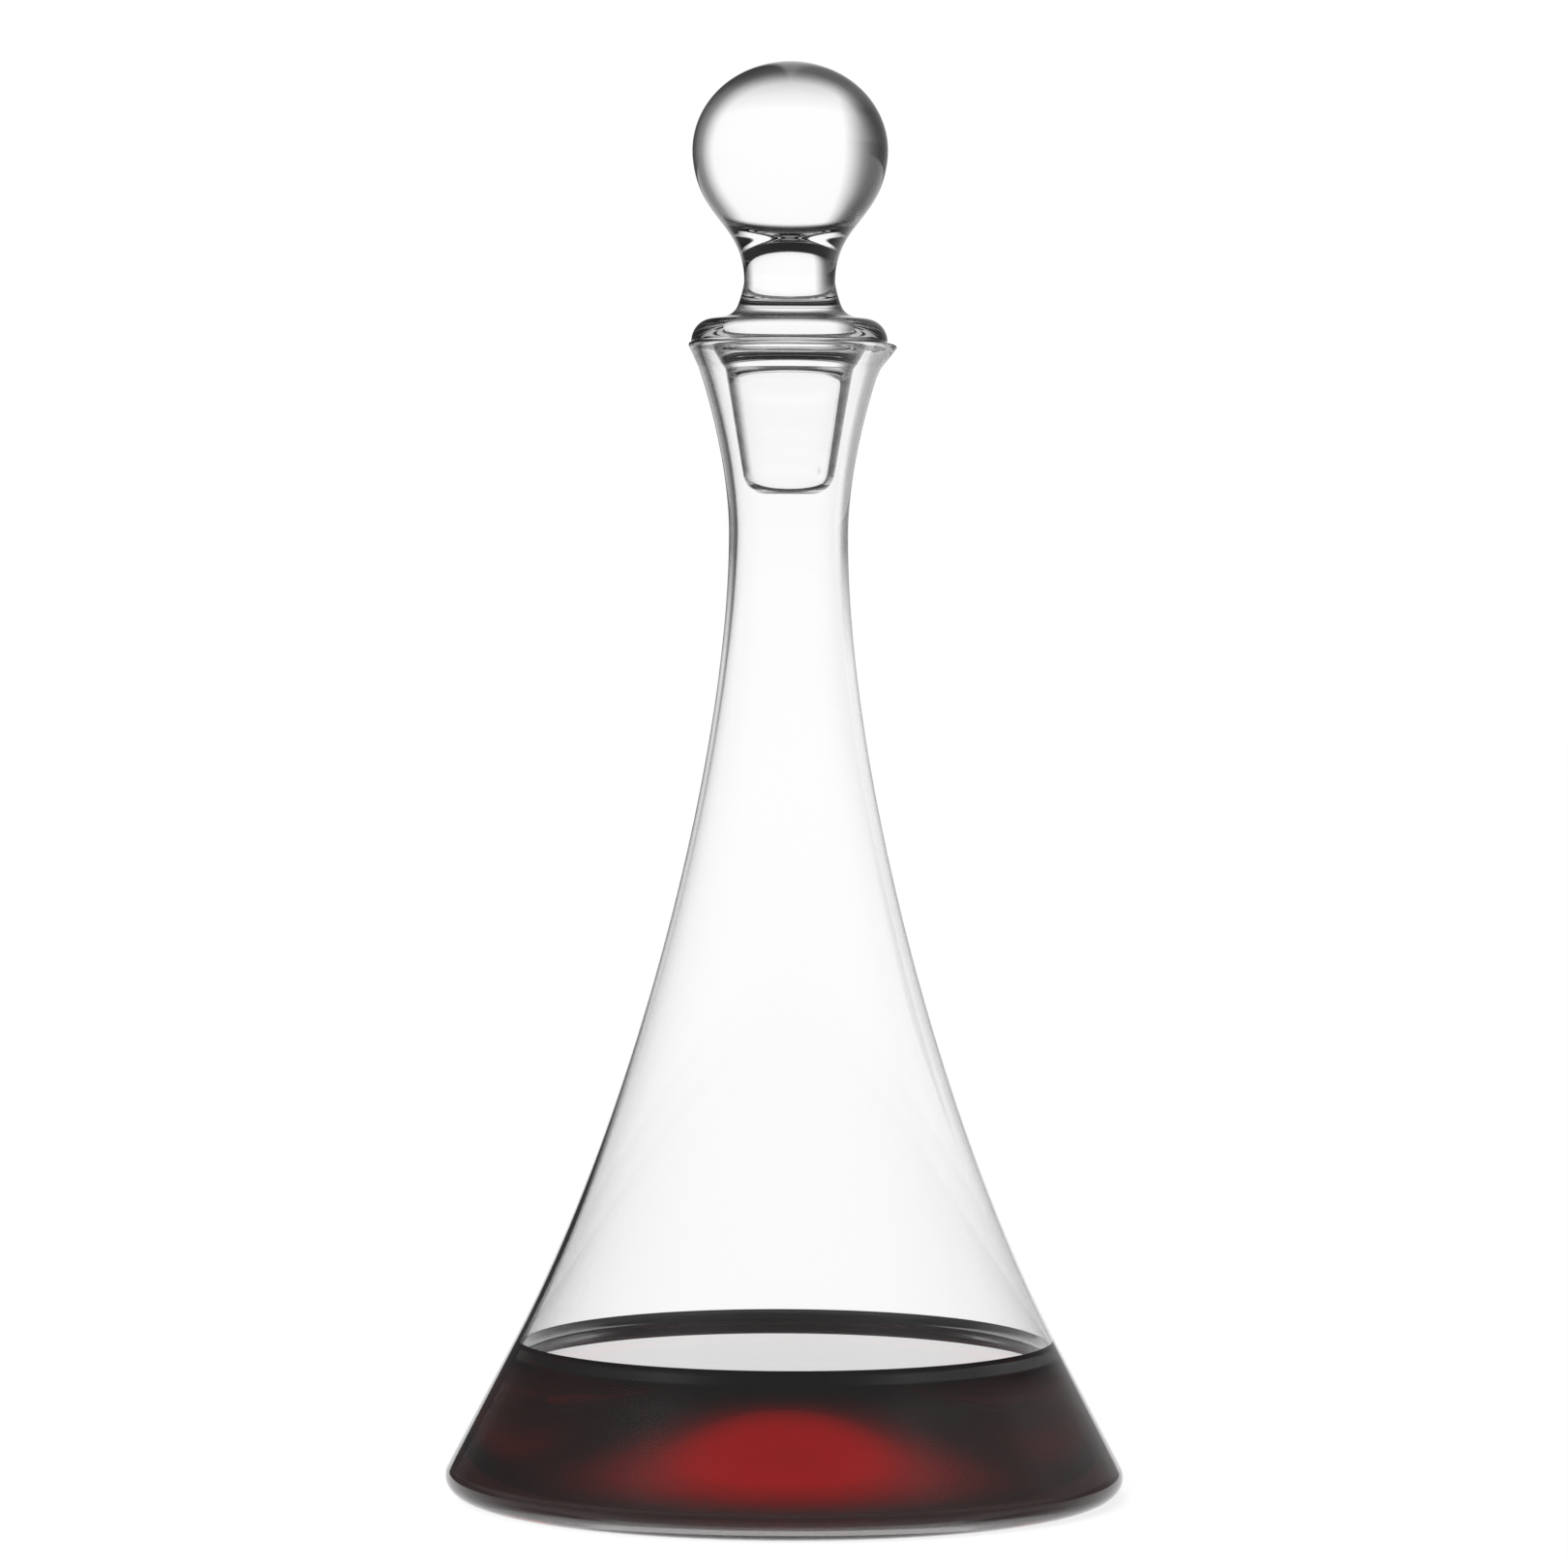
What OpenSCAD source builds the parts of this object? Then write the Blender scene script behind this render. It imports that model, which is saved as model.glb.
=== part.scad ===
// Stoppered wine decanter: a blown glass vessel, the wine in it, and a solid glass ball stopper.
// Millimetres, +Z up. The origin is the centre of the foot ring, and +X points along the pouring lip.

/* [Vessel] */
// Height of the rim above the table
rim_h = 270; // [250:1:300]
// Outside diameter of the neck at its waist
neck_d = 27.8; // [24:0.2:34]
// Height of the neck's waist above the table
waist_h = 225; // [205:1:232]
// Widest outside diameter, just above the table
base_d = 158.8; // [140:0.2:180]
// Lean of the straight lower flank from upright, in degrees
flank_angle = 27.8; // [24:0.2:31]
// Height at which the straight flank gives way to the curve
flank_h = 36; // [28:1:50]
// How far the curve holds the neck's direction below the waist
waist_pull = 55; // [30:1:75]
// How far the curve holds the flank's direction above the flank
flank_pull = 56; // [30:1:75]
// Thickness of the blown glass wall of the body
wall = 1.3; // [1:0.1:2]
// Thickness of the glass gathered in the neck
neck_wall = 1.9; // [1.4:0.1:2.4]

/* [Base] */
// Width of the rounded corner that the flank turns under on
corner_w = 6.5; // [4:0.1:9]
// Height of that corner's widest point above the table
corner_h = 5; // [3.5:0.1:7]
// Thickness of the glass under the wine
bottom_t = 2.8; // [2:0.1:4]
// Height of the rounded corner inside
inner_corner_h = 3; // [2:0.1:5]
// Width of the flat ring that the vessel stands on
foot_w = 7; // [4:0.5:14]
// Rise of the bottom's dome at the middle
punt_h = 17.5; // [8:0.5:22]

/* [Mouth] */
// Outside diameter of the rim
rim_d = 47; // [44:0.2:52]
// Outside diameter of the throat, where the rim's flare starts
throat_d = 42.2; // [38:0.2:43]
// Depth of the throat below the rim
throat_drop = 6; // [4.5:0.5:9]
// Lean of the throat's wall from upright, in degrees
throat_angle = 18.8; // [14:0.2:22]
// How far the curve holds the neck's direction above the waist
neck_pull = 15; // [8:0.5:20]
// How far the curve holds the throat's direction below the throat
throat_pull = 8; // [4:0.5:12]
// Thickness of the glass at the rim
rim_t = 2.4; // [2:0.1:3.2]
// Rounding of the fire-polished rim
rim_round = 0.8; // [0.4:0.1:1]
// Reach of the pouring lip past the round rim
lip_reach = 1.6; // [1:0.1:3]
// Radius of the pouring lip's own curve at the rim
lip_r = 16; // [14:0.5:18]
// Depth that the pouring lip starts at, below the rim
lip_depth = 9; // [8:0.5:12]
// Drop of the pouring lip's edge below the rim
lip_dip = 0.6; // [0.3:0.1:1]

/* [Wine] */
// Height of the wine's level surface above the table
fill_h = 33.6; // [20:0.5:100]
// Height that the wine climbs up the glass
meniscus_h = 3; // [1:0.2:4]
// Width of the curved edge of the wine's surface
meniscus_w = 7; // [4:0.5:10]

/* [Stopper] */
// Diameter of the ball across
ball_d = 45.6; // [38:0.2:54]
// Height of the ball, a little flattened
ball_h = 41.6; // [36:0.2:50]
// Height of the ball's middle above the rim
ball_lift = 44.4; // [40:0.2:52]
// Diameter of the stem at its waist
stem_d = 21.4; // [16:0.2:24]
// Height of the stem's waist above the rim
stem_lift = 15.6; // [13:0.2:18]
// Diameter of the stem where it meets the collar
stem_foot_d = 25; // [24:0.2:28]
// Height of the collar's shoulder above the rim
collar_t = 5.5; // [4:0.1:7]
// Width of the collar's rounded edge
collar_round = 5.4; // [3:0.1:6]
// Rise of the collar's top from its shoulder to the stem
collar_rise = 1.1; // [0.5:0.1:2]
// Step in from the rim's outer edge to the collar's edge
collar_inset = 0.6; // [0.3:0.1:1]
// Depth of the plug below the rim
plug_l = 35.4; // [24:0.2:42]
// Clearance between the plug's top and the wall of the mouth
plug_gap = 3.9; // [1:0.1:5]
// Clearance between the plug's lower end and the wall of the neck
plug_end_gap = 1.8; // [0.6:0.1:3]
// Rounding of the plug's lower end
plug_round = 5.4; // [1:0.2:6]
// Radius of the hollow where the plug meets the collar
plug_fillet = 4; // [2:0.5:5]

/* [Hidden] */
$fn = 128;
// Steps along a long curve, a short curve and a small rounding
long_steps = 18;
short_steps = 9;
round_steps = 4;
glass_tint = [0.84, 0.89, 0.9, 0.45];
wine_tint = [0.3, 0.02, 0.05];

// How late on its way up the wall gathers to the neck's thickness
gather = 8;

// Points along a circular arc about c, from angle a0 to a1
function arc(c, r, a0, a1, steps = round_steps) = oval(c, r, r, a0, a1, steps);

// Points along an elliptical arc about c, rx wide and rz high
function oval(c, rx, rz, a0, a1, steps = round_steps) =
  [for (i = [0:steps]) let (a = a0 + (a1 - a0) * i / steps) c + [rx * cos(a), rz * sin(a)]];

// The point of a cubic curve at t, and its direction there
function curve_at(p, t) =
  pow(1 - t, 3) * p[0] + 3 * pow(1 - t, 2) * t * p[1] + 3 * (1 - t) * pow(t, 2) * p[2] + pow(t, 3) * p[3];
function curve_dir(p, t) =
  pow(1 - t, 2) * (p[1] - p[0]) + 2 * (1 - t) * t * (p[2] - p[1]) + pow(t, 2) * (p[3] - p[2]);

// Points along a cubic curve, set off to its left by d0 at its start and d1 at its end
function curve(p, steps, d0 = 0, d1 = 0) =
  [for (i = [0:steps])
    let (t = i / steps, v = curve_dir(p, t), d = d0 + (d1 - d0) * pow(t, gather))
    curve_at(p, t) + d * [-v[1], v[0]] / norm(v)];

// All but the first point of a list, for chaining stretches that share an end
function rest(points) = [for (i = [1:len(points) - 1]) points[i]];

// The same points from last to first
function reverse(points) = [for (i = [len(points) - 1:-1:0]) points[i]];

// Points in the order that lookup() wants, height first
function by_height(points) = [for (p = points) [p[1], p[0]]];

// Directions along the flank and the throat, seen going up
flank_dir = [-sin(flank_angle), cos(flank_angle)];
throat_dir = [sin(throat_angle), cos(throat_angle)];

// The angle at which an oval corner, w wide and h high, runs into the flank
function corner_turn(w, h) = atan(tan(flank_angle) * h / w);

// The outside of the wall, from the foot up to the throat
corner_c = [base_d / 2 - corner_w, corner_h];
outer_turn = corner_turn(corner_w, corner_h);
corner_end = corner_c + [corner_w * cos(outer_turn), corner_h * sin(outer_turn)];
flank_end = corner_end + flank_dir * (flank_h - corner_end[1]) / flank_dir[1];
waist = [neck_d / 2, waist_h];
throat = [throat_d / 2, rim_h - throat_drop];
body_curve = [flank_end, flank_end + flank_dir * flank_pull, waist - [0, waist_pull], waist];
neck_curve = [waist, waist + [0, neck_pull], throat - throat_dir * throat_pull, throat];

// The rim's flare leaves the throat in line with it and ends at the rounded rim
rim_out = [rim_d / 2, rim_h - rim_round];
flare_dir = (rim_out - throat) / norm(rim_out - throat);

outer_wall = concat(
  oval(corner_c, corner_w, corner_h, -90, 0, 2 * round_steps),
  rest(oval(corner_c, corner_w, corner_h, 0, outer_turn)),
  curve(body_curve, long_steps),
  rest(curve(neck_curve, short_steps))
);

// The inside of the wall, its thickness in from the outside, from the bottom up to the throat
inner_line = corner_end - wall * [cos(flank_angle), sin(flank_angle)];
inner_corner_w = corner_w - wall;
inner_turn = corner_turn(inner_corner_w, inner_corner_h);
inner_corner_z = bottom_t + inner_corner_h;
inner_corner_x = inner_line[0] - inner_corner_w * cos(inner_turn)
  - tan(flank_angle) * (inner_corner_z + inner_corner_h * sin(inner_turn) - inner_line[1]);
inner_wall = concat(
  oval([inner_corner_x, inner_corner_z], inner_corner_w, inner_corner_h, -90, inner_turn, 2 * round_steps),
  curve(body_curve, long_steps, wall, neck_wall),
  rest(curve(neck_curve, short_steps, neck_wall, neck_wall))
);

// The rounded top edge, from the outside over to the inside
rim_in = rim_out[0] - rim_t / flare_dir[1];
rim_edge = concat(
  arc([rim_out[0] - rim_round, rim_out[1]], rim_round, 0, 90),
  arc([rim_in + rim_round, rim_out[1]], rim_round, 90, 180)
);
mouth_wall = concat(inner_wall, [[rim_in, rim_out[1]]]);

// The pouring lip is part of a small cone about an axis of its own, set forward of the neck's
lip_axis = rim_d / 2 + lip_reach - lip_r;
lip_rim_h = rim_h - lip_dip;
lip_foot_h = rim_h - lip_depth;
lip_sink = 0.1;
lip_overlap = 3;
lip_foot_r = lookup(lip_foot_h, by_height(outer_wall)) - lip_sink - lip_axis;
lip_meet = (pow(rim_d / 2, 2) - pow(lip_axis, 2) - pow(lip_r, 2)) / (2 * lip_axis * lip_r);
lip_angle = acos(lip_meet) + lip_overlap;
lip_lean = atan((lip_r - lip_foot_r) / (lip_depth - lip_dip - rim_round));
lip_foot_in = lip_foot_r - neck_wall / cos(lip_lean);
lip_rim_in = lip_r - rim_t / cos(lip_lean);
channel_margin = 0.5;

// The bottom is pushed up in a dome inside the foot ring, equally thick all over
punt_r = corner_c[0] - foot_w;
function dome(lift) =
  [for (i = [0:long_steps]) let (s = i / long_steps) [punt_r * s, lift + punt_h * (1 + cos(180 * s)) / 2]];

// The wine meets the glass at the top of its curved edge
wine_top = fill_h + meniscus_h;
wine_edge_r = lookup(wine_top, by_height(inner_wall));
edge_climb = 0.6;
edge_bend = 0.2;
meniscus = [
  [wine_edge_r, wine_top],
  [wine_edge_r, wine_top - meniscus_h * edge_climb],
  [wine_edge_r - meniscus_w * edge_bend, fill_h],
  [wine_edge_r - meniscus_w, fill_h]
];

// The collar sits on the rim, and the plug keeps its clearance from the wall around it
collar_r = rim_d / 2 - collar_inset;
collar_shoulder_r = collar_r - collar_round;
plug_top_h = rim_h - plug_fillet;
plug_end_h = rim_h - plug_l;
plug_top_r = lookup(plug_top_h, by_height(mouth_wall)) - plug_gap;
plug_end_r = lookup(plug_end_h, by_height(mouth_wall)) - plug_end_gap;
plug_lean = atan((plug_top_r - plug_end_r) / (plug_top_h - plug_end_h));

// The stem's two curves meet at its waist, and each holds its ends' directions for a share of its height
ball_c = [0, rim_h + ball_lift];
ball_join = 30;
ball_foot = ball_c + [ball_d / 2 * cos(ball_join), -ball_h / 2 * sin(ball_join)];
ball_down = [-ball_d * sin(ball_join), -ball_h * cos(ball_join)];
ball_dir = ball_down / norm(ball_down);
stem_hold = 0.4;
foot_hold = 0.45;
foot_lean = [-0.3, 0.5];
stem_foot_lift = 1;
stem_waist = [stem_d / 2, rim_h + stem_lift];
stem_foot = [stem_foot_d / 2, rim_h + collar_t + collar_rise + stem_foot_lift];
stem_pull = (ball_foot[1] - stem_waist[1]) * stem_hold;
foot_pull = (stem_waist[1] - stem_foot[1]) * foot_hold;
stem_low = [stem_foot, stem_foot + foot_pull * foot_lean, stem_waist - [0, foot_pull], stem_waist];
stem_high = [stem_waist, stem_waist + [0, stem_pull], ball_foot + ball_dir * stem_pull, ball_foot];

// The collar's top runs level from its shoulder, then up into the stem in a small hollow
collar_level = 2;
collar_hollow = [0.8, -1.2];
collar_shoulder = [collar_shoulder_r, rim_h + collar_t];
collar_top = [collar_shoulder, collar_shoulder - [collar_level, 0], stem_foot + collar_hollow, stem_foot];

module glass() {
  color(glass_tint) children();
}

// One sector of a revolve, facing +X
module sector(half_angle) {
  rotate([0, 0, -half_angle])
    rotate_extrude(angle = 2 * half_angle)
      children();
}

module decanter_body() {
  glass()
    difference() {
      union() {
        rotate_extrude()
          polygon(concat(dome(0), outer_wall, rim_edge, reverse(inner_wall), reverse(dome(bottom_t))));
        translate([lip_axis, 0, 0])
          sector(lip_angle)
            polygon(concat(
              [[lip_foot_in - channel_margin, lip_foot_h], [lip_foot_r, lip_foot_h]],
              arc([lip_r - rim_round, lip_rim_h - rim_round], rim_round, 0, 90),
              [[lip_rim_in - channel_margin, lip_rim_h]]
            ));
      }
      translate([lip_axis, 0, 0])
        sector(lip_angle + channel_margin)
          polygon([
            [0, lip_foot_h - channel_margin],
            [lip_foot_in, lip_foot_h - channel_margin],
            [lip_rim_in, lip_rim_h - rim_round],
            [lip_rim_in + rim_round / 2, rim_h + channel_margin],
            [0, rim_h + channel_margin]
          ]);
    }
}

module wine() {
  color(wine_tint)
    rotate_extrude()
      polygon(concat(
        dome(bottom_t),
        [for (p = inner_wall) if (p[1] < wine_top) p],
        curve(meniscus, short_steps),
        [[0, fill_h]]
      ));
}

module stopper() {
  glass()
    rotate_extrude()
      polygon(concat(
        [[0, plug_end_h]],
        arc([plug_end_r - plug_round, plug_end_h + plug_round], plug_round, -90, -plug_lean),
        arc([plug_top_r + plug_fillet, plug_top_h], plug_fillet, 180 - plug_lean, 90),
        oval([collar_shoulder_r, rim_h], collar_round, collar_t, 0, 90, 2 * round_steps),
        rest(curve(collar_top, round_steps)),
        rest(curve(stem_low, short_steps)),
        rest(curve(stem_high, short_steps)),
        rest(oval(ball_c, ball_d / 2, ball_h / 2, -ball_join, 90, long_steps))
      ));
}

decanter_body();
wine();
stopper();
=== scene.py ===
from math import atan, cos, pi, radians, sin, tan

import bmesh
import bpy
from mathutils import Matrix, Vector


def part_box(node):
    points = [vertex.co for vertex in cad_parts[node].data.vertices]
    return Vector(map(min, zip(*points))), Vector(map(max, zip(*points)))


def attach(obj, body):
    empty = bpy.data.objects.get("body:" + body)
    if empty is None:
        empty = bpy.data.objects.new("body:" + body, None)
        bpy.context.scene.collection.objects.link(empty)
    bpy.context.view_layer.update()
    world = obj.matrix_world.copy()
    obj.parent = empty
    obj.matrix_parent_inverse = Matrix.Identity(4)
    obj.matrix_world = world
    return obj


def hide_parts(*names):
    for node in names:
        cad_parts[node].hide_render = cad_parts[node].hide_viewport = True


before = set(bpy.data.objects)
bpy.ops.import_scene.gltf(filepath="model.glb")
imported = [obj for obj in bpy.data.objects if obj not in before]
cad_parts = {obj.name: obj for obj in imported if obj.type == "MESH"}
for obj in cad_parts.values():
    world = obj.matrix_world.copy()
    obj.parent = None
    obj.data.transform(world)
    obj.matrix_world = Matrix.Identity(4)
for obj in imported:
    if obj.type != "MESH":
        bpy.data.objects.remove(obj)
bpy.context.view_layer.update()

# Vessel.
# One gather of clear glass, blown to a bell on a slim neck and opened to a flared mouth.
# The bottom is pushed up in a dome, the rim is fire-polished, and one side of it is pulled to a lip.
rim_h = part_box("decanter_body")[1].z
base_r = min(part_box("decanter_body")[1].xy)
neck_r = 0.0139
waist_h = 0.225
flank_angle = radians(27.8)
flank_h = 0.036
waist_pull = 0.055
flank_pull = 0.056
wall = 0.0013
neck_wall = 0.0019
gather = 8
gather_low = 0.195
gather_high = 0.222
corner_w = 0.0065
corner_h = 0.005
bottom_t = 0.0028
inner_corner_w = corner_w - wall
inner_corner_h = 0.003
punt_h = 0.0175
foot_w = 0.007
punt_r = base_r - corner_w - foot_w
throat_r = 0.0211
throat_drop = 0.006
throat_angle = radians(18.8)
neck_pull = 0.015
throat_pull = 0.008
rim_r = 0.0235
rim_t = 0.0024
rim_round = 0.0008
lip_reach = 0.0016
lip_dip = 0.0006
lip_depth = 0.010
lip_half_angle = radians(30)
lip_ease = 1.5
turns_around = 192
weld = 1e-6
corner_steps = 24
inner_corner_steps = 20
flank_steps = 12
body_steps = 96
neck_steps = 40
flare_steps = 8
rim_steps = 8
punt_steps = 40
foot_steps = 4
bottom_steps = 6
glass_ior = 1.52
glass_gloss = (0.4, 0.4, 0.4, 1)
glass_shadow = (0.93, 0.94, 0.94, 1)
white_colour = (1, 1, 1, 1)
# Painted shade: the glass is greyed where it is seen edge-on, by these pairs of facing and shade.
vessel_edge_shade = ((0.0, 1.0), (0.68, 1.0), (0.78, 0.75), (0.9, 0.4), (1.0, 0.3))
neck_edge_shade = ((0.0, 1.0), (0.4, 1.0), (0.47, 0.8), (0.52, 0.4), (0.57, 0.2), (0.69, 0.1), (1.0, 0.06))
vessel_ripple = 0.06
vessel_ripple_depth = 0.00002
hollow_matt = 0.27
ring_matt = 0.7
ring_skin = 0.0002


def point(r, z):
    return Vector((r, 0.0, z))


def oval(centre, rx, rz, start, end, steps):
    """Points along an elliptical arc in the plane of the profile."""
    angles = [start + (end - start) * i / steps for i in range(steps + 1)]
    return [centre + point(rx * cos(a), rz * sin(a)) for a in angles]


def arc(centre, r, start, end, steps):
    return oval(centre, r, r, start, end, steps)


def between(start, end, steps):
    """Points that divide a straight line, without its ends."""
    return [start.lerp(end, i / steps) for i in range(1, steps)]


def curve(p, steps, start_in=0.0, end_in=0.0):
    """Points along a cubic curve, set in from it by start_in at its start and end_in at its end."""
    points = []
    for i in range(steps + 1):
        t = i / steps
        s = 1 - t
        at = p[0] * s ** 3 + p[1] * 3 * s * s * t + p[2] * 3 * s * t * t + p[3] * t ** 3
        along = (p[1] - p[0]) * s * s + (p[2] - p[1]) * 2 * s * t + (p[3] - p[2]) * t * t
        along.normalize()
        inward = start_in + (end_in - start_in) * t ** gather
        points.append(at + point(-along.z, along.x) * inward)
    return points


class Nodes:
    """Short calls that add nodes to a tree. A value is a number, a colour or another node's output."""

    def __init__(self, tree):
        self.tree = tree

    def put(self, value, socket):
        if isinstance(value, bpy.types.NodeSocket):
            self.tree.links.new(value, socket)
        else:
            socket.default_value = value

    def add(self, kind, values=None, **settings):
        node = self.tree.nodes.new(kind)
        for name, setting in settings.items():
            setattr(node, name, setting)
        for socket, value in (values or {}).items():
            self.put(value, node.inputs[socket])
        return node

    def sums(self, operation, *values):
        return self.add("ShaderNodeMath", dict(enumerate(values)), operation=operation).outputs[0]

    def span(self, value, low, high, first=0.0, last=1.0, ease="LINEAR"):
        """First where the value is at low or under it, last at high or over it."""
        ends = {"Value": value, "From Min": low, "From Max": high, "To Min": first, "To Max": last}
        return self.add("ShaderNodeMapRange", ends, interpolation_type=ease).outputs[0]

    def mix_values(self, share, first, second):
        return self.add("ShaderNodeMix", {0: share, 2: first, 3: second}).outputs[0]

    def mix_colours(self, share, first, second, how="MIX"):
        colours = {0: share, 6: first, 7: second}
        return self.add("ShaderNodeMix", colours, data_type="RGBA", blend_type=how).outputs[2]

    def mix_shaders(self, share, first, second):
        return self.add("ShaderNodeMixShader", {0: share, 1: first, 2: second}).outputs[0]

    def group(self, tree, values):
        return self.add("ShaderNodeGroup", values, node_tree=tree).outputs[0]

    def greys(self, value, stops):
        """A ramp of greys, from pairs of place and shade."""
        ramp = self.add("ShaderNodeValToRGB", {0: value})
        while len(ramp.color_ramp.elements) < len(stops):
            ramp.color_ramp.elements.new(0.5)
        for stop, (at, shade) in zip(ramp.color_ramp.elements, stops):
            stop.position = at
            stop.color = (shade, shade, shade, 1)
        return ramp.outputs["Color"]


def lathe_tree():
    """Geometry nodes that turn a profile into a closed surface and pull one side of its rim to a lip."""
    tree = bpy.data.node_groups.new("turned_glass", "GeometryNodeTree")
    face = tree.interface
    face.new_socket("Profile", in_out="INPUT", socket_type="NodeSocketGeometry")
    for name, kind in (("Turns around", "NodeSocketInt"), ("Lip reach", "NodeSocketFloat"),
                       ("Lip dip", "NodeSocketFloat"), ("Lip start", "NodeSocketFloat"),
                       ("Lip end", "NodeSocketFloat"), ("Lip half angle", "NodeSocketFloat"),
                       ("Glass", "NodeSocketMaterial")):
        face.new_socket(name, in_out="INPUT", socket_type=kind)
    face.new_socket("Turned", in_out="OUTPUT", socket_type="NodeSocketGeometry")
    nodes = Nodes(tree)
    add, sums = nodes.add, nodes.sums
    given = add("NodeGroupInput").outputs

    points = add("GeometryNodeAttributeDomainSize", {0: given["Profile"]}).outputs["Point Count"]
    rows = sums("ADD", given["Turns around"], 1)
    grid = add("GeometryNodeMeshGrid", {"Vertices X": points, "Vertices Y": rows})
    index = add("GeometryNodeInputIndex").outputs[0]
    step = sums("FLOOR", sums("DIVIDE", sums("ADD", index, 0.5), rows))
    turn = sums("SUBTRACT", index, sums("MULTIPLY", step, rows))
    angle = sums("MULTIPLY", sums("DIVIDE", turn, given["Turns around"]), 2 * pi)

    position = add("GeometryNodeInputPosition").outputs[0]
    sample = add("GeometryNodeSampleIndex", {"Geometry": given["Profile"], "Value": position, "Index": step},
                 data_type="FLOAT_VECTOR")
    place = add("ShaderNodeSeparateXYZ", {0: sample.outputs[0]}).outputs

    across = sums("ARCTAN2", sums("SINE", angle), sums("COSINE", angle))
    share = sums("MINIMUM", sums("DIVIDE", sums("ABSOLUTE", across), given["Lip half angle"]), 1)
    swell = sums("MULTIPLY_ADD", sums("COSINE", sums("MULTIPLY", share, pi)), 0.5, 0.5)
    rise = nodes.span(place["Z"], given["Lip start"], given["Lip end"], ease="SMOOTHSTEP")
    pull = sums("MULTIPLY", swell, sums("POWER", rise, lip_ease))
    radius = sums("ADD", place["X"], sums("MULTIPLY", pull, given["Lip reach"]))
    height = sums("SUBTRACT", place["Z"], sums("MULTIPLY", pull, given["Lip dip"]))

    spot = add("ShaderNodeCombineXYZ", {
        "X": sums("MULTIPLY", radius, sums("COSINE", angle)),
        "Y": sums("MULTIPLY", radius, sums("SINE", angle)), "Z": height})
    moved = add("GeometryNodeSetPosition", {"Geometry": grid.outputs["Mesh"], "Position": spot.outputs[0]})
    closed = add("GeometryNodeMergeByDistance", {"Geometry": moved.outputs[0], "Distance": weld})
    smooth = add("GeometryNodeSetShadeSmooth", {"Geometry": closed.outputs[0]})
    solid = add("GeometryNodeRealizeInstances", {0: smooth.outputs[0]})
    coated = add("GeometryNodeSetMaterial", {"Geometry": solid.outputs[0], "Material": given["Glass"]})
    add("NodeGroupOutput", {0: coated.outputs[0]})
    return tree


turned_glass = lathe_tree()


def placed(name, data):
    """A new object in the scene."""
    thing = bpy.data.objects.new(name, data)
    bpy.context.scene.collection.objects.link(thing)
    return thing


def turned(name, profile, material, lip=None):
    """A piece turned from a profile that starts and ends on the axis, as a plain mesh."""
    outline = bpy.data.meshes.new(name + "_profile")
    outline.from_pydata([tuple(p) for p in profile], [(i, i + 1) for i in range(len(profile) - 1)], [])
    maker = placed(name + "_profile", outline)
    lathe = maker.modifiers.new("Lathe", "NODES")
    lathe.node_group = turned_glass
    values = {"Turns around": turns_around, "Glass": material, "Lip reach": 0.0, "Lip dip": 0.0,
              "Lip start": 0.0, "Lip end": 1.0, "Lip half angle": 1.0}
    values.update(lip or {})
    for socket in turned_glass.interface.items_tree:
        if socket.name in values:
            lathe[socket.identifier] = values[socket.name]
    depsgraph = bpy.context.evaluated_depsgraph_get()
    mesh = bpy.data.meshes.new_from_object(maker.evaluated_get(depsgraph))
    mesh.name = name
    bpy.data.objects.remove(maker)
    shell = bmesh.new()
    shell.from_mesh(mesh)
    bmesh.ops.recalc_face_normals(shell, faces=shell.faces)
    shell.to_mesh(mesh)
    shell.free()
    return placed(name, mesh)


def shader_group(name, inputs, output, kind="NodeSocketFloat"):
    """A new shader group, the calls that add its nodes, its inputs and the socket for its output."""
    tree = bpy.data.node_groups.new(name, "ShaderNodeTree")
    for socket, socket_kind in inputs.items():
        tree.interface.new_socket(socket, in_out="INPUT", socket_type=socket_kind)
    tree.interface.new_socket(output, in_out="OUTPUT", socket_type=kind)
    nodes = Nodes(tree)
    return tree, nodes, nodes.add("NodeGroupInput").outputs, nodes.add("NodeGroupOutput").inputs[output]


def glass_ripple():
    """The faint ripple of hand-worked glass."""
    tree, nodes, given, height = shader_group("glass_ripple", {
        "Place": "NodeSocketVector", "Size": "NodeSocketFloat"}, "Height")
    fineness = nodes.sums("DIVIDE", 1.0, given["Size"])
    noise = nodes.add("ShaderNodeTexNoise", {"Vector": given["Place"], "Scale": fineness, "Detail": 0.0})
    nodes.put(noise.outputs[0], height)
    return tree


def outward_faces():
    """A mask of the faces that look away from the axis, fading in from one height to another, for painted
    edge shade.
    """
    tree, nodes, given, mask = shader_group("outward_faces", {
        "Place": "NodeSocketVector", "Clear height": "NodeSocketFloat",
        "Edge height": "NodeSocketFloat"}, "Mask")
    from_axis = nodes.add("ShaderNodeVectorMath", {0: given["Place"], 1: (1, 1, 0)}, operation="MULTIPLY")
    lie = nodes.add("ShaderNodeNewGeometry")
    outward = nodes.add("ShaderNodeVectorMath", {0: from_axis.outputs[0], 1: lie.outputs["Normal"]},
                        operation="DOT_PRODUCT")
    outer = nodes.sums("GREATER_THAN", outward.outputs["Value"], 0.0)
    height = nodes.add("ShaderNodeSeparateXYZ", {0: given["Place"]}).outputs["Z"]
    risen = nodes.span(height, given["Clear height"], given["Edge height"])
    nodes.put(nodes.sums("MULTIPLY", risen, outer), mask)
    return tree


ripple_height = glass_ripple()
outward_mask = outward_faces()


def blank_material(name):
    """A new material, the calls that add its nodes, and the socket for its surface."""
    material = bpy.data.materials.new(name)
    material.use_nodes = True
    material.node_tree.nodes.clear()
    nodes = Nodes(material.node_tree)
    return material, nodes, nodes.add("ShaderNodeOutputMaterial").inputs["Surface"]


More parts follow.
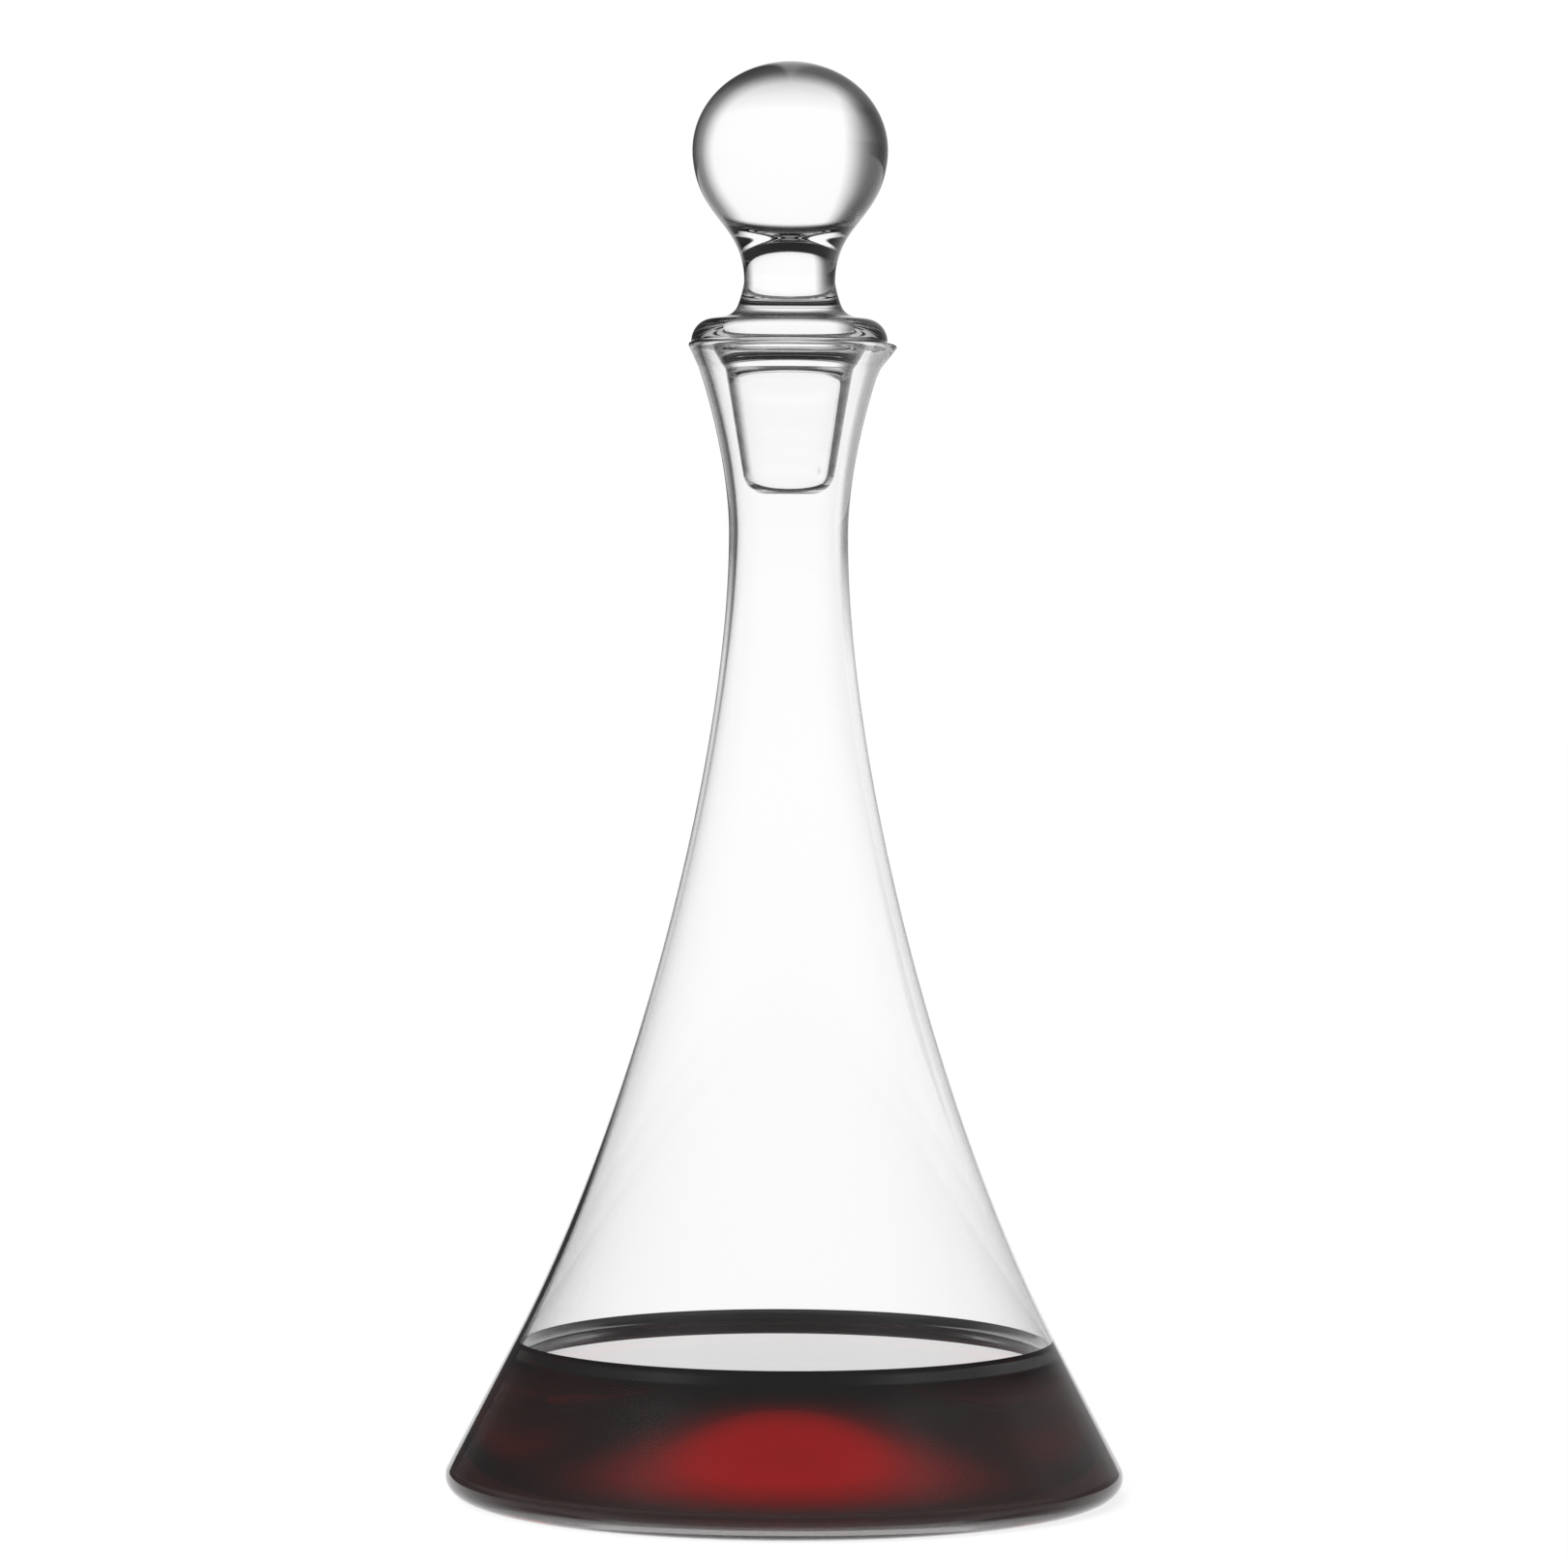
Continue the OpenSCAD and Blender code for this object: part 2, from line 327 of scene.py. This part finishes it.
def pass_shadow(nodes, shader, colour):
    """The shader as it is, with a plain tinted shadow."""
    shade = nodes.add("ShaderNodeBsdfTransparent", {"Color": colour})
    path = nodes.add("ShaderNodeLightPath").outputs
    return nodes.mix_shaders(path["Is Shadow Ray"], shader.outputs[0], shade.outputs[0])


def clear_glass(name, clear_h, edge_h, ripple_size, ripple_depth, stops, neck_shade_stops=None, ground=0.0):
    """Clear glass with the faint ripple of hand work, greyed by painted shade where seen edge-on above
    edge_h and not below clear_h.

    The neck has painted edge shade of its own where neck stops are given, and ground mattes the domed
    underside.
    """
    material, nodes, surface = blank_material(name)
    sums = nodes.sums
    facing = nodes.add("ShaderNodeLayerWeight").outputs["Facing"]
    place = nodes.add("ShaderNodeTexCoord").outputs["Object"]
    x, y, z = nodes.add("ShaderNodeSeparateXYZ", {0: place}).outputs
    # Painted shade: the base colour greys with facing, so the glass looks dark where it is seen edge-on.
    glass_edge_shade = nodes.greys(facing, stops)
    if neck_shade_stops:
        gathered = nodes.span(z, gather_low, gather_high)
        glass_edge_shade = nodes.mix_colours(gathered, glass_edge_shade, nodes.greys(facing, neck_shade_stops))
    glass_shade_share = nodes.group(outward_mask, {"Place": place, "Clear height": clear_h, "Edge height": edge_h})
    ripple = nodes.group(ripple_height, {"Place": place, "Size": ripple_size})
    bump = nodes.add("ShaderNodeBump", {"Strength": 1.0, "Distance": ripple_depth, "Height": ripple})
    glass = nodes.add("ShaderNodeBsdfPrincipled", {
        "Base Color": nodes.mix_colours(glass_shade_share, white_colour, glass_edge_shade), "Transmission Weight": 1.0,
        "IOR": glass_ior, "Specular Tint": glass_gloss, "Roughness": 0.0, "Normal": bump.outputs[0]})
    if ground:
        reach = sums("SQRT", sums("ADD", sums("MULTIPLY", x, x), sums("MULTIPLY", y, y)))
        share = sums("MINIMUM", sums("DIVIDE", reach, punt_r), 1.0)
        dome = sums("MULTIPLY_ADD", sums("COSINE", sums("MULTIPLY", share, pi)), punt_h / 2, punt_h / 2)
        below = sums("LESS_THAN", sums("SUBTRACT", z, dome), bottom_t / 2)
        inside_foot = sums("LESS_THAN", reach, punt_r)
        hollow = sums("MULTIPLY", sums("MULTIPLY", below, inside_foot), ground)
        ring = sums("MULTIPLY", sums("LESS_THAN", z, ring_skin), ring_matt)
        nodes.put(sums("MAXIMUM", hollow, ring), glass.inputs["Roughness"])
    nodes.put(pass_shadow(nodes, glass, glass_shadow), surface)
    return material


flank_dir = point(-sin(flank_angle), cos(flank_angle))
throat_dir = point(sin(throat_angle), cos(throat_angle))
corner_c = point(base_r - corner_w, corner_h)
corner_turn = atan(tan(flank_angle) * corner_h / corner_w)
corner_end = corner_c + point(corner_w * cos(corner_turn), corner_h * sin(corner_turn))
flank_end = corner_end + flank_dir * ((flank_h - corner_end.z) / flank_dir.z)
waist = point(neck_r, waist_h)
throat = point(throat_r, rim_h - throat_drop)
body_curve = (flank_end, flank_end + flank_dir * flank_pull, waist - point(0, waist_pull), waist)
neck_curve = (waist, waist + point(0, neck_pull), throat - throat_dir * throat_pull, throat)

punt_shares = [i / punt_steps for i in range(punt_steps + 1)]
punt = [point(punt_r * share, punt_h * (0.5 + 0.5 * cos(pi * share))) for share in punt_shares]
foot_ring = between(point(punt_r, 0), point(corner_c.x, 0), foot_steps)
outside = oval(corner_c, corner_w, corner_h, -pi / 2, corner_turn, corner_steps)
outside += between(corner_end, flank_end, flank_steps)
outside += curve(body_curve, body_steps) + curve(neck_curve, neck_steps)[1:]

rim_edge_out = point(rim_r, rim_h - rim_round)
flare_dir = (rim_edge_out - throat).normalized()
rim_in = rim_r - rim_t / flare_dir.z
flare = between(throat, rim_edge_out, flare_steps)
rim = arc(point(rim_r - rim_round, rim_edge_out.z), rim_round, 0, pi / 2, rim_steps)
rim += arc(point(rim_in + rim_round, rim_edge_out.z), rim_round, pi / 2, pi, rim_steps)

inner_line = corner_end - point(cos(flank_angle), sin(flank_angle)) * wall
inner_corner_z = bottom_t + inner_corner_h
inner_turn = atan(tan(flank_angle) * inner_corner_h / inner_corner_w)
inner_lead = inner_corner_z + inner_corner_h * sin(inner_turn) - inner_line.z
inner_corner_x = inner_line.x - inner_corner_w * cos(inner_turn) - tan(flank_angle) * inner_lead
inner_corner = oval(point(inner_corner_x, inner_corner_z), inner_corner_w, inner_corner_h,
                    -pi / 2, inner_turn, inner_corner_steps)
inner_curve = curve(body_curve, body_steps, wall, neck_wall)
inside = inner_corner + between(inner_corner[-1], inner_curve[0], flank_steps)
inside += inner_curve + curve(neck_curve, neck_steps, neck_wall, neck_wall)[1:]
flare_inside = between(inside[-1], rim[-1], flare_steps)
bottom_inside = [p + point(0, bottom_t) for p in punt]
bottom_inside += between(point(punt_r, bottom_t), point(inner_corner_x, bottom_t), bottom_steps)

vessel_profile = punt + foot_ring + outside + flare + rim
vessel_profile += flare_inside[::-1] + inside[::-1] + bottom_inside[::-1]
decanter_glass = clear_glass("decanter_glass", corner_h, 2 * corner_h, vessel_ripple, vessel_ripple_depth,
                             vessel_edge_shade, neck_edge_shade, hollow_matt)
vessel = turned("vessel", vessel_profile, decanter_glass, {
    "Lip reach": lip_reach, "Lip dip": lip_dip, "Lip half angle": lip_half_angle,
    "Lip start": rim_h - lip_depth, "Lip end": rim_h})
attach(vessel, "decanter")
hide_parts("decanter_body")

# Wine.
# A deep red wine standing in the foot of the vessel.
# Its surface is level, and its edge climbs the glass in a narrow curve.
wine_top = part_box("wine")[1].z
meniscus_h = 0.003
meniscus_w = 0.007
meniscus_drop = 0.6
meniscus_pull = 0.2
meniscus_steps = 24
still_steps = 16
wetting = 0.00015
level = wine_top - meniscus_h
wine_ior = 1.345
wine_red = (0.91, 0.0, 0.0, 1)
wine_density = 100.0
wine_shadow = (0.12, 0.01, 0.01, 1)
# Painted shade: near black where the wine's edge climbs the glass and in a band on the wall just under its
# surface.
wine_shade_colour = (0.002, 0.001, 0.001, 1)
no_gloss = (0, 0, 0, 1)
film_ior = 1.5
film_drop = 0.0003
climb_h = 0.0006
ring_low = 0.0060
ring_high = 0.0012


def wall_at(points, z):
    """Radius of a rising line of points at height z."""
    for low, high in zip(points, points[1:]):
        if low.z <= z <= high.z:
            return low.lerp(high, (z - low.z) / (high.z - low.z)).x
    raise ValueError("height is outside the wall")


edge_r = wall_at(inside, wine_top)


def red_wine():
    """Clear red liquid, painted near black as shade where its edge climbs the glass and just under it on the
    wall, with a gloss on its surface.
    """
    material, nodes, surface = blank_material("red_wine")
    place = nodes.add("ShaderNodeTexCoord").outputs["Object"]
    z = nodes.add("ShaderNodeSeparateXYZ", {0: place}).outputs["Z"]
    climb = nodes.span(z, level, level + climb_h)
    from_axis = nodes.add("ShaderNodeVectorMath", {0: place, 1: (1, 1, 0)}, operation="MULTIPLY")
    reach = nodes.add("ShaderNodeVectorMath", {0: from_axis.outputs[0]}, operation="LENGTH")
    at_wall = nodes.sums("GREATER_THAN", reach.outputs["Value"], edge_r)
    below = nodes.span(z, level - ring_low, level - ring_high)
    # Painted shade: near black at the climbing edge, and on the wall between the two depths under the
    # surface.
    wine_edge_shade = nodes.sums("MAXIMUM", climb, nodes.sums("MULTIPLY", at_wall, below))
    liquid = nodes.add("ShaderNodeBsdfPrincipled", {
        "Base Color": nodes.mix_colours(wine_edge_shade, white_colour, wine_shade_colour), "Transmission Weight": 1.0,
        "IOR": wine_ior, "Specular Tint": no_gloss, "Roughness": 0.0, "Coat IOR": film_ior,
        "Coat Roughness": 0.0, "Coat Weight": nodes.sums("GREATER_THAN", z, level - film_drop)})
    nodes.put(pass_shadow(nodes, liquid, wine_shadow), surface)
    depth = nodes.add("ShaderNodeVolumeAbsorption", {"Color": wine_red, "Density": wine_density})
    nodes.put(depth.outputs[0], surface.node.inputs["Volume"])
    return material


wet_wall = [p + point(wetting, 0) for p in inside if p.z < wine_top]
wet_wall[0] = point(inner_corner_x, bottom_t - wetting)
still_r = edge_r - meniscus_w
meniscus = (point(edge_r + wetting, wine_top), point(edge_r, wine_top - meniscus_h * meniscus_drop),
            point(edge_r - meniscus_w * meniscus_pull, level), point(still_r, level))
still = [point(still_r * i / still_steps, level) for i in range(still_steps)]
wine_profile = [p - point(0, wetting) for p in bottom_inside]
wine_profile += wet_wall + curve(meniscus, meniscus_steps) + still[::-1]
wine = turned("wine_fill", wine_profile, red_wine())
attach(wine, "decanter")
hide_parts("wine")

# Stopper.
# One solid piece of clear glass: a slightly flattened ball on a waisted stem.
# Its rounded collar sits on the rim, and a tapered plug hangs in the mouth with room around it.
stopper_low, stopper_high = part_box("stopper")
ball_r = 0.0228
ball_half_h = 0.0208
ball_join = radians(5)
ball_pull = 0.505
stem_r = 0.0106
stem_lift = 0.0140
stem_pull = 0.47
stem_foot_r = 0.0125
stem_foot_lift = 0.001
foot_lean = 0.115
foot_pull = 0.15
collar_t = 0.0055
collar_round = 0.0054
collar_rise = 0.0011
collar_inset = 0.0006
collar_pull = 0.002
collar_foot_w = 0.0008
collar_foot_h = 0.0012
plug_gap = 0.0039
plug_end_gap = 0.0018
plug_round = 0.0054
plug_clear = 0.2
plug_flare_w = 0.0037
plug_flare_h = 0.0077
plug_flare_angle = radians(31)
plug_pull = 0.0022
flare_pull = 0.005
plug_end_steps = 10
plug_side_steps = 30
plug_flare_steps = 24
collar_under_steps = 4
collar_edge_steps = 24
collar_top_steps = 12
stem_low_steps = 16
stem_high_steps = 32
ball_steps = 72
stopper_ripple = 0.03
stopper_ripple_depth = 0.000008
# Painted shade for the stopper's edges seen edge-on, as pairs of facing and shade.
stopper_edge_shade = ((0.0, 1.0), (0.38, 1.0), (0.45, 0.6), (0.5, 0.33), (0.57, 0.1), (0.65, 0.05), (0.75, 0.02),
                (1.0, 0.01))

plug_end_h = stopper_low.z
plug_top_h = rim_h - plug_flare_h
plug_end_r = wall_at(inside, plug_end_h) - plug_end_gap
plug_top_r = wall_at(inside + [rim[-1]], plug_top_h) - plug_gap
plug_lean = atan((plug_top_r - plug_end_r) / (plug_top_h - plug_end_h))
plug_end_c = point(plug_end_r - plug_round, plug_end_h + plug_round)
plug_end = arc(plug_end_c, plug_round, -pi / 2, -plug_lean, plug_end_steps)
flare_foot = point(plug_top_r, plug_top_h)
flare_end = point(plug_top_r + plug_flare_w, rim_h)
flare_foot_dir = point(sin(plug_lean), cos(plug_lean))
flare_end_dir = point(sin(plug_flare_angle), cos(plug_flare_angle))
plug_top = curve((flare_foot, flare_foot + flare_foot_dir * plug_pull,
                  flare_end - flare_end_dir * flare_pull, flare_end), plug_flare_steps)
plug_side = between(plug_end[-1], plug_top[0], plug_side_steps)
collar_r = rim_r - collar_inset
collar_shoulder = point(collar_r - collar_round, rim_h)
collar_under = between(plug_top[-1], point(collar_r, rim_h), collar_under_steps)
collar_edge = oval(collar_shoulder, collar_round, collar_t, 0, pi / 2, collar_edge_steps)

ball_c = point(0, stopper_high.z - ball_half_h)
ball_foot = ball_c + point(ball_r * cos(ball_join), -ball_half_h * sin(ball_join))
ball_dir = point(-ball_r * sin(ball_join), -ball_half_h * cos(ball_join)).normalized()
stem_waist = point(stem_r, rim_h + stem_lift)
stem_foot = point(stem_foot_r, rim_h + collar_t + collar_rise + stem_foot_lift)
stem_rise = ball_foot.z - stem_waist.z
foot_rise = stem_waist.z - stem_foot.z
collar_top = curve((collar_edge[-1], collar_edge[-1] - point(collar_pull, 0),
                    stem_foot + point(collar_foot_w, -collar_foot_h), stem_foot), collar_top_steps)
stem_low = curve((stem_foot, stem_foot + point(-foot_rise * foot_lean, foot_rise * foot_pull),
                  stem_waist - point(0, foot_rise * foot_pull), stem_waist), stem_low_steps)
stem_high = curve((stem_waist, stem_waist + point(0, stem_rise * stem_pull),
                   ball_foot + ball_dir * (stem_rise * ball_pull), ball_foot), stem_high_steps)
ball = oval(ball_c, ball_r, ball_half_h, -ball_join, pi / 2, ball_steps)

stopper_profile = [point(0, plug_end_h)] + plug_end + plug_side + plug_top + collar_under + collar_edge
stopper_profile += collar_top[1:] + stem_low[1:] + stem_high[1:] + ball[1:-1] + [point(0, stopper_high.z)]
stopper_glass = clear_glass("stopper_glass", plug_end_h + plug_clear * plug_round, plug_end_h + plug_round,
                            stopper_ripple, stopper_ripple_depth, stopper_edge_shade)
stopper = turned("ball_stopper", stopper_profile, stopper_glass)
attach(stopper, "stopper")
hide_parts("stopper")

# Studio.
# A pale table that runs out into white, a white sheet behind and dark flags beside it, as glass is
# photographed. A low black card and a small white sheet are met only by light that comes through glass.
# The black card is painted shade in the glass, and the small white sheet is painted light in the plug.
table_r = 6.0
table_drop = 0.0003
table_sides = 96
table_grey = (0.8, 0.8, 0.8, 1)
table_white = 0.85
# Painted shade on the table seen through glass: it darkens by bearing like the flags, fading in between the
# first two reaches to the last share.
floor_shade_near = 0.15
floor_shade_far = 0.9
floor_shade_most = 0.95
# Painted shade: near the object, for light turned in the stopper, and through the wine, the table takes the
# dark floor colour.
dark_near = 0.5
dark_far = 0.9
dark_floor = (0.02, 0.02, 0.02, 1)
wine_view_h = 0.06
under_view_h = 0.004
sheen_shades = ((0.0, 0.3), (0.3, 0.3), (0.357, 0.36), (0.412, 0.52), (0.485, 0.72), (0.546, 0.8),
                (0.593, 0.87), (0.658, 0.93), (0.72, 1.0))
flag_shades = (
    (-180, 0.6), (-130, 0.6), (-100, 0.3), (-70, 0.12), (-50, 0.1), (-45, 0.12), (-41, 0.18), (-38, 0.25),
    (-35, 0.38), (-31, 0.6), (-24, 1.0), (65, 1.0), (80, 0.5), (100, 0.5), (130, 0.6), (180, 0.6))
# Light paths count the faces of glass passed: two for solid glass, four for the empty body and six
# for the plug within the neck. Each limit lies between two counts.
past_solid = 2.5
past_body = 4.5
past_neck = 5.5
past_plug = 6.5
one_bounce = 0.5


def by_bearing(name, shades):
    """Greys by bearing around the object, from pairs of degrees and shade."""
    tree, nodes, given, grey = shader_group(name, {"Place": "NodeSocketVector"}, "Shade", "NodeSocketColor")
    where = nodes.add("ShaderNodeSeparateXYZ", {0: given["Place"]}).outputs
    turn = nodes.span(nodes.sums("ARCTAN2", where["X"], where["Y"]), -pi, pi)
    nodes.put(nodes.greys(turn, [((angle + 180) / 360, shade) for angle, shade in shades]), grey)
    return tree


dark_flags = by_bearing("dark_flags", flag_shades)


def table_top():
    """White as seen, with the object's shadow; through glass it shows painted sheen, painted flag shade,
    painted dark patches and painted white under the foot.
    """
    material, nodes, surface = blank_material("table_top")
    add, sums = nodes.add, nodes.sums
    path = add("ShaderNodeLightPath").outputs
    matte = add("ShaderNodeBsdfDiffuse", {"Color": table_grey})
    white = add("ShaderNodeEmission")
    seen = nodes.mix_shaders(sums("MULTIPLY", path["Is Camera Ray"], table_white), matte.outputs[0],
                             white.outputs[0])
    facing = add("ShaderNodeLayerWeight").outputs["Facing"]
    sheen = nodes.greys(facing, sheen_shades)
    spot = add("ShaderNodeTexCoord").outputs["Object"]
    reach = add("ShaderNodeVectorMath", {0: spot}, operation="LENGTH").outputs["Value"]
    beyond = nodes.span(reach, floor_shade_near, floor_shade_far, 0.0, floor_shade_most, "SMOOTHSTEP")
    flagged = nodes.mix_colours(beyond, sheen, nodes.group(dark_flags, {"Place": spot}), "MULTIPLY")

    # Painted shade and light: through the wine, and near the object for light turned in the stopper, the
    # table is painted dark; seen through the foot's underside it is painted white.
    left_at = sums("MULTIPLY", sums("SUBTRACT", 1.0, facing), path["Ray Length"])
    through_wine = sums("MULTIPLY", sums("LESS_THAN", left_at, wine_view_h),
                        sums("GREATER_THAN", path["Transmission Depth"], past_body))
    under = sums("MULTIPLY", sums("LESS_THAN", left_at, under_view_h),
                 sums("LESS_THAN", path["Transmission Depth"], past_solid))
    lit = nodes.mix_colours(under, flagged, white_colour)
    near = nodes.span(reach, dark_near, dark_far, 1.0, 0.0)
    passed = sums("MULTIPLY", near, path["Is Transmission Ray"])
    bounced = sums("GREATER_THAN", path["Glossy Depth"], one_bounce)
    from_stopper = sums("MULTIPLY", sums("GREATER_THAN", left_at, rim_h), bounced)
    dark = sums("MAXIMUM", through_wine, sums("MULTIPLY", from_stopper, passed))
    glare = add("ShaderNodeEmission", {"Color": nodes.mix_colours(dark, lit, dark_floor)})
    through = sums("MAXIMUM", path["Is Glossy Ray"], path["Is Transmission Ray"])
    nodes.put(nodes.mix_shaders(through, seen, glare.outputs[0]), surface)
    return material


disc = bmesh.new()
bmesh.ops.create_circle(disc, cap_ends=True, radius=table_r, segments=table_sides)
bmesh.ops.translate(disc, verts=disc.verts, vec=(0, 0, -table_drop))
table_mesh = bpy.data.meshes.new("table")
disc.to_mesh(table_mesh)
disc.free()
table_mesh.materials.append(table_top())
table = placed("table", table_mesh)

card_left, card_right = -0.22, -0.075
card_solid_right = -0.105
card_back = 0.3
card_solid_h = 0.08
card_top_h = 0.125
card_black = (0.01, 0.01, 0.01, 1)
sheet_half_w = 0.07
sheet_back = 0.09
sheet_low_h, sheet_high_h = 0.262, 0.31


def black_card():
    """Painted shade in the glass: black with a soft top and right edge, for light that has bounced within
    the glass.
    """
    material, nodes, surface = blank_material("black_card")
    place = nodes.add("ShaderNodeTexCoord").outputs["Object"]
    where = nodes.add("ShaderNodeSeparateXYZ", {0: place}).outputs
    soft_top = nodes.span(where["Z"], card_solid_h, card_top_h)
    soft_side = nodes.span(where["X"], card_solid_right, card_right)
    path = nodes.add("ShaderNodeLightPath").outputs
    straight = nodes.sums("LESS_THAN", path["Glossy Depth"], one_bounce)
    unseen = nodes.sums("MAXIMUM", nodes.sums("MAXIMUM", soft_top, soft_side), straight)
    black = nodes.add("ShaderNodeBsdfDiffuse", {"Color": card_black})
    clear = nodes.add("ShaderNodeBsdfTransparent")
    nodes.put(nodes.mix_shaders(unseen, black.outputs[0], clear.outputs[0]), surface)
    return material


def mouth_white():
    """Painted light in the plug: white for light that comes through the plug within the neck."""
    material, nodes, surface = blank_material("mouth_sheet")
    path = nodes.add("ShaderNodeLightPath").outputs
    deep = nodes.sums("GREATER_THAN", path["Transmission Depth"], past_neck)
    clear = nodes.add("ShaderNodeBsdfTransparent")
    white = nodes.add("ShaderNodeEmission")
    nodes.put(nodes.mix_shaders(deep, clear.outputs[0], white.outputs[0]), surface)
    return material


def upright(name, left, right, back, low, high, material):
    """An upright sheet that is met only through glass."""
    mesh = bpy.data.meshes.new(name)
    mesh.from_pydata([(left, back, low), (right, back, low), (right, back, high), (left, back, high)],
                     [], [(0, 1, 2, 3)])
    mesh.materials.append(material)
    board = placed(name, mesh)
    board.visible_camera = False
    board.visible_shadow = False
    board.visible_diffuse = False
    board.visible_glossy = False
    return board


card = upright("card", card_left, card_right, card_back, 0, card_top_h, black_card())
mouth_sheet = upright("mouth_sheet", -sheet_half_w, sheet_half_w, sheet_back, sheet_low_h, sheet_high_h,
                      mouth_white())

soft_grey = (0.8, 0.8, 0.8, 1)
soft_strength = 0.12
ceiling_dark = 0.03
body_ceiling = (40, 48)
neck_ceiling = (29, 37)
glint_shades = (
    (-180, 1.0), (-120, 1.0), (-90, 0.6), (-60, 0.25), (-40, 0.12), (-29, 0.09), (-6, 0.08), (-2.5, 1.0),
    (2.5, 1.0), (8, 0.45), (18, 0.4), (29, 0.3), (40, 0.2), (60, 0.2), (90, 0.6), (120, 1.0), (180, 1.0))
loft_shades = ((0, 0.0), (18, 0.01), (22, 0.16), (25, 0.45), (29, 0.8), (33, 1.0), (47, 1.0), (53, 0.0),
               (90, 0.0))
glints = by_bearing("glints", glint_shades)


def surroundings():
    """White as seen, soft as light; through glass the sheet, the flags and a dark ceiling."""
    world = bpy.data.worlds.new("studio")
    world.use_nodes = True
    world.node_tree.nodes.clear()
    nodes = Nodes(world.node_tree)
    add, sums = nodes.add, nodes.sums
    path = add("ShaderNodeLightPath").outputs
    view = add("ShaderNodeTexCoord").outputs["Generated"]
    height = sums("ARCSINE", add("ShaderNodeSeparateXYZ", {0: view}).outputs["Z"])

    def ceiling(low, high):
        return nodes.span(height, radians(low), radians(high), 1.0, ceiling_dark, "SMOOTHSTEP")

    def deeper(depth, least):
        return sums("GREATER_THAN", path[depth], least)

    mirror_only = add("ShaderNodeMath", {0: path["Is Glossy Ray"], 1: path["Is Transmission Ray"]},
                      operation="SUBTRACT", use_clamp=True).outputs[0]
    colour = nodes.mix_colours(mirror_only, nodes.group(dark_flags, {"Place": view}),
                               nodes.group(glints, {"Place": view}))
    bounced = sums("MULTIPLY", deeper("Transmission Depth", past_neck), deeper("Glossy Depth", one_bounce))
    deep = sums("MAXIMUM", deeper("Transmission Depth", past_plug), bounced)
    loft = nodes.greys(sums("DIVIDE", height, pi / 2), [(angle / 90, shade) for angle, shade in loft_shades])
    top = nodes.mix_values(deeper("Transmission Depth", past_body), ceiling(*body_ceiling),
                           ceiling(*neck_ceiling))
    strength = nodes.mix_values(mirror_only, nodes.mix_values(deep, top, loft), 1.0)
    sheet = add("ShaderNodeBackground", {"Color": colour, "Strength": strength})
    soft = add("ShaderNodeBackground", {"Color": soft_grey, "Strength": soft_strength})
    white = add("ShaderNodeBackground", {"Color": white_colour})
    through = sums("MAXIMUM", path["Is Glossy Ray"], path["Is Transmission Ray"])
    light = nodes.mix_shaders(through, soft.outputs[0], sheet.outputs[0])
    add("ShaderNodeOutputWorld", {
        "Surface": nodes.mix_shaders(path["Is Camera Ray"], light, white.outputs[0])})
    return world


bpy.context.scene.world = surroundings()

key_strength = 5.1
key_spread = radians(30)
key_place = Vector((-0.5, -1.1, 1.5))
key_light = bpy.data.lights.new("key", "SUN")
key_light.energy = key_strength
key_light.angle = key_spread
key = placed("key", key_light)
key.location = key_place
key.rotation_euler = (-key_place).to_track_quat("-Z", "Y").to_euler()
key.visible_glossy = False
key.visible_transmission = False

# Camera.
# A long lens, level with the neck of the vessel and tipped down a little.
# Pixel values are those of the photograph's 1620 by 1620 frame.
frame_px = 1620
focal_px = 7200
foot_px = 1548.5
top_px = 65
horizon_px = 540
axis_px = 813.5
roll = radians(0.26)
sensor_w = 36
metre_per_px = stopper_high.z / (foot_px - top_px)
stand_off = focal_px * metre_per_px
eye = Vector(((frame_px / 2 - axis_px) * metre_per_px, -stand_off, (foot_px - horizon_px) * metre_per_px))
aim = Vector((eye.x, 0, (foot_px - frame_px / 2) * metre_per_px))
lens = bpy.data.cameras.new("camera")
lens.sensor_width = sensor_w
lens.lens = sensor_w * focal_px / frame_px
camera = placed("camera", lens)
camera.location = eye
look = (aim - eye).to_track_quat("-Z", "Y").to_euler()
look.rotate_axis("Z", roll)
camera.rotation_euler = look
bpy.context.scene.camera = camera
bpy.context.scene.view_settings.view_transform = "Standard"
